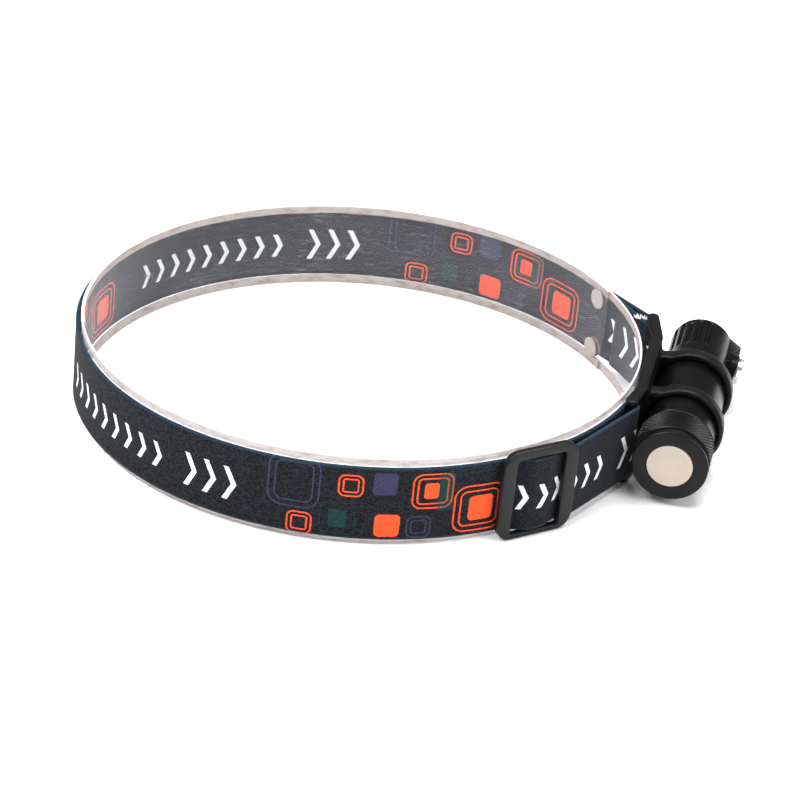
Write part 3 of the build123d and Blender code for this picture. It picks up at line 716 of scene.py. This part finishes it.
# ---------------------------------------------------------------- holder
BAR_R, ARM_T, ARM_R = 1.5, 2.0, 2.1
RIM_T = 3.7  # back plate at its upper and lower edges
SHOULDER = 3.0  # height of the thinner edges
BASE_X, BASE_T, BASE_Y = 88.632, 4.2, (-8.0, 28.0)
RING_T, RING_W, RING_MID, WEB_H = 2.2, 4.8, (25.75, 49.7), 21.0
VOXEL, SMOOTH_FACTOR, SMOOTH_ROUNDS = 0.4, 0.6, 16  # these melt the blocks into one moulding


def hull_outline(circles, steps=16):
    """Convex outline round circles: (x, y, radius)."""
    points = sorted(
        (round(x + r * math.cos(a), 4), round(y + r * math.sin(a), 4))
        for x, y, r in circles
        for a in (2 * math.pi * k / steps for k in range(steps))
    )

    def turns_right(a, b, c):
        return (b[0] - a[0]) * (c[1] - a[1]) - (b[1] - a[1]) * (c[0] - a[0]) <= 0

    def half(items):
        chain = []
        for p in items:
            while len(chain) >= 2 and turns_right(chain[-2], chain[-1], p):
                chain.pop()
            chain.append(p)
        return chain[:-1]

    return half(points) + half(points[::-1])


def silicone_holder():
    parts = []
    plate_y = (BASE_Y[0] + BASE_Y[1]) / 2
    for thick, low, high in ((RIM_T, 0.0, HOOP_H), (BASE_T, SHOULDER, HOOP_H - SHOULDER)):
        plate = rounded_box(thick, BASE_Y[1] - BASE_Y[0], thick * 0.45)
        parts.append(prism([(x + BASE_X + thick / 2, y + plate_y) for x, y in plate], low, high))
    for level in (0.0, HOOP_H - ARM_T):
        for bar, edge in ((FAR_BAR, BASE_Y[1] - 1.5), (NEAR_BAR, BASE_Y[0] + 1.5)):
            elbow = (BASE_X + RIM_T / 2 + 0.35, edge, RIM_T / 2)
            outline = hull_outline([(bar.x, bar.y, ARM_R), elbow])
            parts.append(prism(outline, level, level + ARM_T))
    for bar in (FAR_BAR, NEAR_BAR):
        angles = [k * math.pi / 8 for k in range(16)]
        outline = [(bar.x + BAR_R * math.cos(a), bar.y + BAR_R * math.sin(a)) for a in angles]
        parts.append(prism(outline, 0.0, HOOP_H))
    lamp_x, tail_y = LAMP_AT.x, LAMP_AT.y
    for middle in RING_MID:
        low, high = tail_y + middle - RING_W / 2, tail_y + middle + RING_W / 2
        count, verts = 96, []
        corners = [(TUBE_R + 0.05, low), (TUBE_R + RING_T, low), (TUBE_R + RING_T, high), (TUBE_R + 0.05, high)]
        for k in range(count):
            a = 2 * math.pi * k / count
            for radius, y in corners:
                verts.append((lamp_x + radius * math.cos(a), y, LAMP_Z + radius * math.sin(a)))
        parts.append((verts, ring_faces(count, len(corners), closed=True)))
        # web from the back plate to the ring
        root = BASE_X + 1.0
        mid_r = TUBE_R + RING_T * 0.55
        outline = [(root, LAMP_Z - WEB_H / 2)]
        for degrees in range(265, 94, -6):
            a = math.radians(degrees)
            outline.append((lamp_x + mid_r * math.cos(a), LAMP_Z + mid_r * math.sin(a)))
        outline.append((root, LAMP_Z + WEB_H / 2))
        verts = [(x, low, z) for x, z in outline] + [(x, high, z) for x, z in outline]
        parts.append((verts, prism_faces(len(outline))))
    piece = join_parts("holder", parts)
    remesh = piece.modifiers.new("remesh", "REMESH")
    remesh.mode = "VOXEL"
    remesh.voxel_size = VOXEL * MM
    smooth = piece.modifiers.new("smooth", "SMOOTH")
    smooth.factor = SMOOTH_FACTOR
    smooth.iterations = SMOOTH_ROUNDS
    apply_all(piece)
    # smoothing closes the tube's bore a little, so its points are pushed back out
    co = np.zeros(len(piece.data.vertices) * 3)
    piece.data.vertices.foreach_get("co", co)
    co = co.reshape(-1, 3) / MM
    dx, dz = co[:, 0] - lamp_x, co[:, 2] - LAMP_Z
    radius = np.hypot(dx, dz)
    bore = TUBE_R + 0.06
    inside_bore = radius < bore
    push = bore / np.maximum(radius, 1e-6)
    co[inside_bore, 0] = lamp_x + dx[inside_bore] * push[inside_bore]
    co[inside_bore, 2] = LAMP_Z + dz[inside_bore] * push[inside_bore]
    co[:, 2] = np.clip(co[:, 2], 0.0, HOOP_H)
    piece.data.vertices.foreach_set("co", (co * MM).ravel())
    piece.data.update()
    return piece


holder = silicone_holder()
place(holder, "headband", "silicone", "black_silicone", "silicone_holder")

# ---------------------------------------------------------------- lamp
CAP_FLOOR, CAP_BORE = 4.5, 10.5
KNURL, KNURL_DEPTH = (3.9, 14.2), 0.42
SNOUT_FRONT, SNOUT_HALF = 12.4, 4.6
SNOUT_KINK = (7.7, 6.4)
SNOUT_TOP, SNOUT_FOOT, SNOUT_ROOT = 70.4, 64.5, 3.0
BEAM_AT = 70.5
BOSS_R, OPTIC_R = 5.9, 4.3
FLUTE_L, FLUTE_W, FLUTE_DEPTH, FLUTES = 16.5, 1.9, 0.75, 11
SWITCH_WELL_R, SWITCH_WELL_L = 6.05, 4.0
BEAM_SPACE = frame_matrix(LAMP_AT + Vector((0, BEAM_AT, 0)), Vector((0, 1, 0)), BEAM)


def knurled_cap():
    """Tail cap: rim, groove, and a band of cut diamonds."""
    count, diamonds, fine = 640, 64, 88
    pitch = 2 * math.pi * CAP_R / diamonds
    slant, fade = 0.75, 0.5
    profile = [
        (0.0, 7.35), (0.0, CAP_R - 0.7), (0.12, CAP_R - 0.38), (0.35, CAP_R - 0.2), (1.0, CAP_R - 0.2),
        (1.2, CAP_R - 0.35), (1.3, CAP_R - 0.7), (2.4, CAP_R - 0.72), (3.5, CAP_R - 0.7), (3.6, CAP_R - 0.3),
    ]
    rows = [(s, r, 0.0) for s, r in profile]
    for i in range(fine + 1):
        s = KNURL[0] + (KNURL[1] - KNURL[0]) * i / fine
        rows.append((s, CAP_R, 1.0))
    rows += [(14.5, CAP_R - 0.25, 0.0), (14.78, CAP_R - 0.6, 0.0), (14.8, CAP_BORE, 0.0)]
    rows += [(CAP_FLOOR, CAP_BORE, 0.0), (CAP_FLOOR, 0.0, 0.0)]
    verts = []
    for s, r, cut in rows:
        for k in range(count):
            a = 2 * math.pi * k / count
            radius = r
            if cut:
                u = diamonds * a / (2 * math.pi)
                v = s / pitch * slant
                one = abs(((u + v) % 1.0) - 0.5) * 2
                two = abs(((u - v) % 1.0) - 0.5) * 2
                ease = min(1.0, (s - KNURL[0]) / fade + 0.2, (KNURL[1] - s) / fade + 0.2)
                radius -= KNURL_DEPTH * max(one, two) * ease
            verts.append((radius * math.cos(a), radius * math.sin(a), s))
    piece = new_object("tail_cap_knurled", verts, ring_faces(len(rows), count), LAMP)
    sharp_by_angle(piece, 30)
    return piece


cap = knurled_cap()
place(cap, "cap", "cap", "black_anodised", "tail_cap")


def fluted_barrel():
    """Head barrel with rounded flutes that stop short of the far rim."""
    count = 480
    low, high = TUBE_END + 0.25, LAMP_L - 0.6
    rows = [(TUBE_END, 9.0), (TUBE_END, HEAD_R - 0.25), (low, HEAD_R)]
    rows += [(low + (high - low) * i / 70, HEAD_R) for i in range(1, 71)]
    rows += [(LAMP_L - 0.3, HEAD_R - 0.1), (LAMP_L - 0.08, HEAD_R - 0.32), (LAMP_L, HEAD_R - 0.6)]
    rows += [(LAMP_L, SWITCH_WELL_R), (LAMP_L - SWITCH_WELL_L, SWITCH_WELL_R)]
    verts = []
    run_in, run_out, rim = 1.4, 0.8, 1.3
    step = math.radians(180 / (FLUTES - 1))
    for s, r in rows:
        start = (s - (LAMP_L - FLUTE_L)) / run_in
        stop = (LAMP_L - rim - s) / run_out
        depth = FLUTE_DEPTH * max(0.0, min(1.0, start)) * max(0.0, min(1.0, stop))
        for k in range(count):
            a = 2 * math.pi * k / count
            # flutes go round the back of the beam
            back = (a - math.pi / 2 + step / 2) % (2 * math.pi)
            radius = r
            if depth and back < FLUTES * step:
                off = (back % step - step / 2) * HEAD_R
                radius -= depth * max(0.0, 1 - (abs(off) / (FLUTE_W / 2)) ** 3)
            verts.append((radius * math.cos(a), radius * math.sin(a), s))
    piece = new_object("head_barrel", verts, ring_faces(len(rows), count), LAMP)
    sharp_by_angle(piece, 40)
    return piece


def snout():
    """Block that carries the optics: bevelled sides, a back that slopes to the barrel, a round boss and
    a socket for the lens."""
    kink_x, kink_y = SNOUT_KINK
    low = SNOUT_FOOT - (SNOUT_TOP - SNOUT_FOOT) * (kink_x - SNOUT_ROOT) / (SNOUT_FRONT - kink_x)
    # (along, reach, where the sides turn in, half width there)
    sections = [
        (low, SNOUT_ROOT, SNOUT_ROOT * 0.8, kink_y),
        (SNOUT_FOOT, kink_x, kink_x * 0.8, kink_y),
        (SNOUT_TOP, SNOUT_FRONT, kink_x, SNOUT_HALF),
        (LAMP_L, SNOUT_FRONT, kink_x, SNOUT_HALF),
    ]
    verts = []
    for s, reach, turn, half in sections:
        side = [(0, kink_y), (turn, kink_y), (reach, half)]
        verts += [(x, -y, s) for x, y in side] + [(x, y, s) for x, y in reversed(side)]
    faces = ring_faces(len(sections), 6)
    faces.append(tuple(range(6))[::-1])
    faces.append(tuple(range(18, 24)))
    block = new_object("head_snout", verts, faces, LAMP, smooth=False)
    bevel = block.modifiers.new("bevel", "BEVEL")
    bevel.width = 0.35 * MM
    bevel.segments = 3
    bevel.limit_method = "ANGLE"
    bevel.angle_limit = math.radians(20)
    soft, past, socket_r = 0.25, 2.0, OPTIC_R + 0.05
    boss_profile = [(SNOUT_ROOT, BOSS_R), (SNOUT_FRONT - soft, BOSS_R), (SNOUT_FRONT, BOSS_R - soft)]
    boss = lathe("boss", boss_profile, BEAM_SPACE)
    socket = lathe("socket", [(0.6, socket_r), (SNOUT_FRONT + past, socket_r)], BEAM_SPACE)
    well_profile = [(LAMP_L - SWITCH_WELL_L, SWITCH_WELL_R), (LAMP_L + past, SWITCH_WELL_R)]
    switch_well = lathe("well", well_profile, LAMP)
    for tool, operation in ((boss, "UNION"), (socket, "DIFFERENCE"), (switch_well, "DIFFERENCE")):
        cut = block.modifiers.new(tool.name, "BOOLEAN")
        cut.object = tool
        cut.operation = operation
        cut.solver = "EXACT"
    apply_all(block)
    for tool in (boss, socket, switch_well):
        bpy.data.objects.remove(tool)
    sharp_by_angle(block, 30)
    return block


barrel = fluted_barrel()
place(barrel, "lamp", "anodised", "black_anodised", "head_housing")
front_block = snout()
place(front_block, "lamp", "anodised", "black_anodised", "head_housing")


def toothed_bezel():
    """Retaining ring with blunt teeth."""
    count, teeth = 240, 6
    base, top, soft = 13.05, 14.35, 0.1
    inner, outer = 3.65, 5.2
    rows = [(10.95, 3.6), (10.95, 4.28), (12.45, 4.28), (12.45, 5.1), (12.55, outer), (base, outer)]
    # rows with no height of their own rise into teeth
    rows += [(None, outer), (None, 5.1), (None, 3.75), (None, inner), (base, 3.6)]
    verts = []
    for s, r in rows:
        rise = top - base - (soft if r in (inner, outer) else 0.0)
        for k in range(count):
            a = 2 * math.pi * k / count
            wave = math.cos(teeth * a)
            tooth = max(0.0, min(1.0, (wave + 0.15) * 4.0))
            height = base + 0.02 + rise * tooth if s is None else s
            verts.append((r * math.cos(a), r * math.sin(a), height))
    piece = new_object("bezel", verts, ring_faces(len(rows), count, closed=True), BEAM_SPACE)
    sharp_by_angle(piece, 35)
    return piece


place(toothed_bezel(), "lamp", "bezel", "bright_bezel", "bezel_ring")

# snap rivets: low domes inside the former, thin backs outside
RIVET_AT, RIVET_SPACING, RIVET_STEM = 40.5, 18.3, 1.4
rivet_point, rivet_out = oval(HOOP_A, HOOP_B, RIVET_AT - LOOP_TURN)
for number, side in enumerate((-1, 1), start=1):
    spot = Vector((rivet_point.x, rivet_point.y, LAMP_Z + side * RIVET_SPACING / 2))
    matrix = frame_matrix(spot, Vector((0, 0, 1)), Vector((rivet_out.x, rivet_out.y, 0)))
    face = -HOOP_T - LAP_T - 0.1
    profile = [(face - 0.5, 0.6), (face - 0.48, 2.4), (face - 0.4, 3.1), (face - 0.2, 3.38), (face, 3.4)]
    profile += [(face, RIVET_STEM), (0.05, RIVET_STEM), (0.05, 3.3), (0.18, 3.3), (0.26, 2.9), (0.28, 0.5)]
    rivet = lathe("rivet_%d" % number, profile, matrix, 48)
    place(rivet, "former", "rivet", "frosted_plastic", "hoop_rivets")

# frayed thread ends at the far fold
tuft_random = random.Random(7)


def tuft(name, origin, spread, lean, count, length):
    """Loose white thread ends: thin bent tubes that start inside the strap's edge."""
    verts, faces = [], []
    sides, steps, radius = 5, 6, 0.13
    for _ in range(count):
        start = origin + Vector([tuft_random.uniform(-1, 1) * k for k in spread])
        aim = (lean + Vector([tuft_random.uniform(-0.6, 0.6) for _ in range(3)])).normalized()
        bend = Vector([tuft_random.uniform(-0.5, 0.5) for _ in range(3)])
        reach = length * tuft_random.uniform(0.55, 1.0)
        across = aim.orthogonal().normalized()
        other = aim.cross(across)
        base = len(verts)
        for i in range(steps):
            t = i / (steps - 1)
            spot = start + aim * reach * t + bend * t * t * reach * 0.6
            thin = radius * (1 - 0.6 * t)
            for k in range(sides):
                a = 2 * math.pi * k / sides
                verts.append(tuple(spot + (across * math.cos(a) + other * math.sin(a)) * thin))
        faces += [tuple(base + corner for corner in face) for face in ring_faces(steps, sides)]
        faces.append(tuple(base + k for k in range(sides))[::-1])
        faces.append(tuple(base + (steps - 1) * sides + k for k in range(sides)))
    return new_object(name, verts, faces)


fray_at = Vector((FAR_BAR.x - 3.2, FAR_BAR.y + 1.4, LAMP_Z + STRAP_W / 2 - 0.3))
fray = tuft("fray_far", fray_at, spread=(2.4, 0.6, 0.15), lean=Vector((-0.3, 0.05, 0.6)), count=90, length=1.3)
place(fray, "headband", "thread", "white_thread")

FINISH = {
    "strap_stitching": "thread", "tail_magnet": "magnet", "tail_spring": "spring",
    "battery_tube": "anodised", "tail_seal": "silicone", "battery_cell": "wrap", "positive_spring": "gold",
    "head_seal": "silicone", "driver_board": "board", "led_wires": "wire",
    "led_board": "star", "led_emitter": "phosphor", "reflector": "mirror", "lens_seal": "silicone",
    "lens": "glass", "switch_board": "board", "tact_switch": "switch",
    "switch_retainer": "anodised", "switch_button": "button",
}
for node, key in FINISH.items():
    dress(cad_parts[node], key)

# ---------------------------------------------------------------- floor, light, camera
FLOOR_COLOUR = (0.93, 0.93, 0.93)
FLOOR_HALF, FLOOR_DROP = 3000.0, 0.02
WORLD_STRENGTH = 0.26
floor_verts = [(x * FLOOR_HALF, y * FLOOR_HALF, -FLOOR_DROP) for x, y in ((-1, -1), (1, -1), (1, 1), (-1, 1))]
floor = new_object("floor", floor_verts, [(0, 1, 2, 3)])
floor_shader = Shader("pale_floor", 0.6)
floor_shader.colour(FLOOR_COLOUR)
floor.data.materials.append(floor_shader.material)

world = bpy.data.worlds.new("studio")
scene.world = world
world.use_nodes = True
background = world.node_tree.nodes["Background"]
background.inputs["Color"].default_value = (1, 1, 1, 1)
background.inputs["Strength"].default_value = WORLD_STRENGTH


def softbox(name, where, size, power, target=(0.02, 0, 0.01)):
    data = bpy.data.lights.new(name, "AREA")
    data.shape = "DISK"
    data.size = size
    data.energy = power
    lamp = bpy.data.objects.new(name, data)
    scene.collection.objects.link(lamp)
    lamp.location = where
    lamp.rotation_euler = (Vector(target) - Vector(where)).to_track_quat("-Z", "Y").to_euler()
    return lamp


softbox("key", (-0.55, -0.5, 1.0), size=0.6, power=17.0)
softbox("fill", (0.9, -0.35, 0.7), size=0.7, power=7.5)
softbox("top", (0.1, 0.35, 1.2), size=0.9, power=20.0)

CAMERA_AT = Vector((0.1414, -0.7932, 0.4734))
CAMERA_TURN, CAMERA_DOWN, CAMERA_ROLL = 9.11, 30.3, 6.11
CAMERA_LENS, CAMERA_SENSOR = 130.9, 36.0
turn, down, roll = (math.radians(v) for v in (CAMERA_TURN, CAMERA_DOWN, CAMERA_ROLL))
forward = Vector((-math.sin(turn) * math.cos(down), math.cos(turn) * math.cos(down), -math.sin(down)))
level = forward.cross(Vector((0, 0, 1))).normalized()
upright = level.cross(forward)
right = math.cos(roll) * level + math.sin(roll) * upright
above = -math.sin(roll) * level + math.cos(roll) * upright
camera_data = bpy.data.cameras.new("camera")
camera_data.lens = CAMERA_LENS
camera_data.sensor_width = CAMERA_SENSOR
camera_data.clip_start = 0.05
camera = bpy.data.objects.new("camera", camera_data)
scene.collection.objects.link(camera)
camera.matrix_world = Matrix.Translation(CAMERA_AT) @ Matrix((right, above, -forward)).transposed().to_4x4()
scene.camera = camera
scene.view_settings.view_transform = "Standard"
